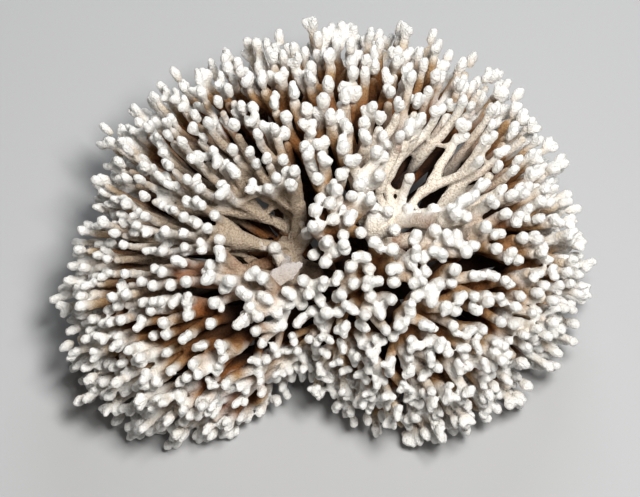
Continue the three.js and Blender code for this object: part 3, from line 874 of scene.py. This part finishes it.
# At the back of the rim two fingers have met and closed into an arch with a few knobs on it.
ARCH_FEET, ARCH_RISE = HEART + np.array([(-5.0, 116, 22), (8.0, 118, 22)]), 24
ARCH_SUNK, ARCH_STATIONS, ARCH_RADIUS = 3, 12, 3.2
KNOB_AT, KNOB_TURN = [2, 4, 6, 8, 9], np.array([0.4, -0.5, 0.5, -0.3, 0.6])
KNOB_LENGTH, KNOB_RADIUS, KNOB_STATIONS = 5, 2.1, 5
arch_fingers = [np.linalg.norm(finger_tip - foot, axis=1).argmin() for foot in ARCH_FEET]
arch_way = tip_way[arch_fingers]
arch_foot = finger_tip[arch_fingers] - ARCH_SUNK * arch_way
arch_path = carried(
    arch_foot[:1], arch_foot[1:], ARCH_RISE * arch_way[:1], -ARCH_RISE * arch_way[1:],
    ARCH_STATIONS)
arch_branch = grown_branch[arch_fingers[0]]
knob_start = arch_path[0, KNOB_AT]
knob_way = unit(arch_way.mean(axis=0) + KNOB_TURN[:, None] * [0.0, 0, 1])
arch_knobs = shaft_paths(
    knob_start, knob_start + KNOB_LENGTH * knob_way, knob_way, knob_way, 0.0, KNOB_STATIONS)

# A shoot is there only where it bears fingers.
bearing = np.bincount(grown_shoot[~grown_inside], minlength=SHOOT_COUNT) > 0
bearing &= np.linalg.norm(shoot_way, axis=1) > 0.5
branch_slim, shoot_slim = slimness(branch_way, *BRANCH_SLIM), slimness(shoot_way, *SHOOT_SLIM)
for branch in range(BRANCH_COUNT):
    shoots = np.flatnonzero((branch_of == branch) & bearing)
    fingers = np.flatnonzero(grown_branch == branch)
    tips = np.flatnonzero(grown_branch[lobe_owner] == branch)
    buds = np.flatnonzero(grown_branch[budding] == branch)
    links = np.flatnonzero(bridge_branch == branch)
    branch_widths = tapered(1, STATIONS, *BRANCH_RADII) * branch_slim[branch]
    shoot_widths = tapered(len(shoots), STATIONS, *SHOOT_RADII) * shoot_slim[shoots, None]
    shells = [
        tubes(branch_paths[branch:branch + 1], branch_widths),
        tubes(shoot_paths[shoots], shoot_widths),
        tubes(finger_paths[fingers], finger_widths[fingers]),
        tubes(lobe_paths[tips], lobe_widths[tips]),
        tubes(bud_paths[buds], tapered(len(buds), BUD_STATIONS, *BUD_RADII)),
        tubes(bridge_paths[links], bridge_radius[links][:, None] * waist)]
    ends_here = np.concatenate([lobe_tip[tips], bud_tip[buds]])
    if branch == arch_branch:
        shells += [tubes(arch_path, np.full((1, ARCH_STATIONS), ARCH_RADIUS)),
                   tubes(arch_knobs, np.full((len(KNOB_AT), KNOB_STATIONS), KNOB_RADIUS))]
        ends_here = np.concatenate([ends_here, arch_path[0, 2:-2], arch_knobs[:, -1]])
    piece = fused(f"branch_{branch + 1:02d}_skin", shells, FINGER_VOXEL, ends_here, finger_finish)
    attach(piece, "root")
    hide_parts(f"branch_{branch + 1:02d}")


# ---------------------------------------------------------------------------------------
# The flake: a broken plate of skeleton, greyer than the rest, that has fused by a short
# stalk to the root of the left fan. It is a flattened tube that tapers to a pointed end.
# ---------------------------------------------------------------------------------------
FLAKE_GREY, FLAKE_VOXEL, FLAKE_FLATNESS = (0.60, 0.585, 0.62), 0.5, 0.24
FLAKE_RADII = np.array([[2.6, 4.4, 4.0, 4.8, 3.2, 1.7]])
STALK_RADII, STALK_STATIONS, FLAKE_SPECKLE = (2.6, 1.8), 8, 0.3
flake_line = np.linspace(FLAKE_FROM, FLAKE_TO, FLAKE_RADII.shape[1])[None]
flake_along = unit(FLAKE_TO - FLAKE_FROM)
flake_up = unit(FLAKE_FACE - flake_along * (FLAKE_FACE @ flake_along))
flake_shell, flake_walls, flake_ends = tubes(flake_line, FLAKE_RADII)
flake_height = (flake_shell - FLAKE_FROM) @ flake_up
flake_shell = flake_shell - (1 - FLAKE_FLATNESS) * flake_height[:, None] * flake_up
stalk_start = limb_end[FANS[1][3]][None]
stalk_end = flake_line[:, 2]
flake_stalk = shaft_paths(
    stalk_start, stalk_end, unit(stalk_end - stalk_start), flake_up[None], 0.0, STALK_STATIONS)
flake = fused("flake_skin", [
    (flake_shell, flake_walls, flake_ends),
    tubes(flake_stalk, tapered(1, STALK_STATIONS, *STALK_RADII))],
    FLAKE_VOXEL, [], coral_finish("coral_flake", FLAKE_GREY, FLAKE_SPECKLE))
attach(flake, "root")


# ---------------------------------------------------------------------------------------
# The stage: a plain sheet of pale grey paper that the colony stands on, a soft key light
# high in front, a weak fill beside it, a light behind the rim, and the camera.
# ---------------------------------------------------------------------------------------
FLOOR_HALF, PAPER, PAPER_ROUGHNESS = 1.6, (0.45, 0.455, 0.465, 1), 0.9
floor_mesh = bpy.data.meshes.new("floor")
floor_mesh.from_pydata(
    [(-FLOOR_HALF, -FLOOR_HALF, 0), (FLOOR_HALF, -FLOOR_HALF, 0),
     (FLOOR_HALF, FLOOR_HALF, 0), (-FLOOR_HALF, FLOOR_HALF, 0)], [], [(0, 1, 2, 3)])
floor = bpy.data.objects.new("floor", floor_mesh)
bpy.context.scene.collection.objects.link(floor)
paper = bpy.data.materials.new("floor_paper")
paper.use_nodes = True
paper_shader = paper.node_tree.nodes["Principled BSDF"]
paper_shader.inputs["Base Color"].default_value = PAPER
paper_shader.inputs["Roughness"].default_value = PAPER_ROUGHNESS
floor_mesh.materials.append(paper)


def soft_light(name, power, size, colour, place, target):
    """A square area light at a place, turned to face a target."""
    data = bpy.data.lights.new(name, "AREA")
    data.energy, data.size, data.color = power, size, colour
    light = bpy.data.objects.new(name, data)
    bpy.context.scene.collection.objects.link(light)
    light.location = place
    way = np.array(target) - np.array(place)
    tilt, turn = math.atan2(math.hypot(way[0], way[1]), -way[2]), math.atan2(way[1], way[0])
    light.rotation_euler = (tilt, 0, turn - math.pi / 2)


centre = HEART * MM
# Each light's power in watts, its size in metres, its colour and its place.
soft_light("key", 20.5, 0.34, (1.0, 0.985, 0.955), (0.26, -0.30, 1.27), centre)
soft_light("rim", 5, 0.6, (0.92, 0.96, 1.0), (0.15, 1.0, 0.7), centre)
soft_light("front_fill", 1.1, 0.8, (0.90, 0.95, 1.0), (0.2, -0.5, 1.25), centre)
world = bpy.data.worlds.new("studio")
world.use_nodes = True
SKY, SKY_STRENGTH = (1.0, 0.92, 0.82, 1), 0.05
world.node_tree.nodes["Background"].inputs["Color"].default_value = SKY
world.node_tree.nodes["Background"].inputs["Strength"].default_value = SKY_STRENGTH
bpy.context.scene.world = world

# The camera looks down at a point a little aside of the heart, over a frame of this width.
CAMERA_ELEVATION, CAMERA_DISTANCE, FRAME_WIDTH, SENSOR = 62.0, 1.6, 0.302, 0.036
LOOK_ASIDE = np.array([-0.0118, 0.0169, 0.0])
look_at = centre + LOOK_ASIDE
tilt = math.radians(CAMERA_ELEVATION)
camera_data = bpy.data.cameras.new("camera")
camera_data.sensor_width = SENSOR * 1000
camera_data.lens = SENSOR * 1000 * CAMERA_DISTANCE / FRAME_WIDTH
camera = bpy.data.objects.new("camera", camera_data)
bpy.context.scene.collection.objects.link(camera)
camera.location = look_at + CAMERA_DISTANCE * np.array([0.0, -math.cos(tilt), math.sin(tilt)])
camera.rotation_euler = (math.pi / 2 - tilt, 0, 0)
bpy.context.scene.camera = camera
bpy.context.scene.view_settings.view_transform = "Standard"
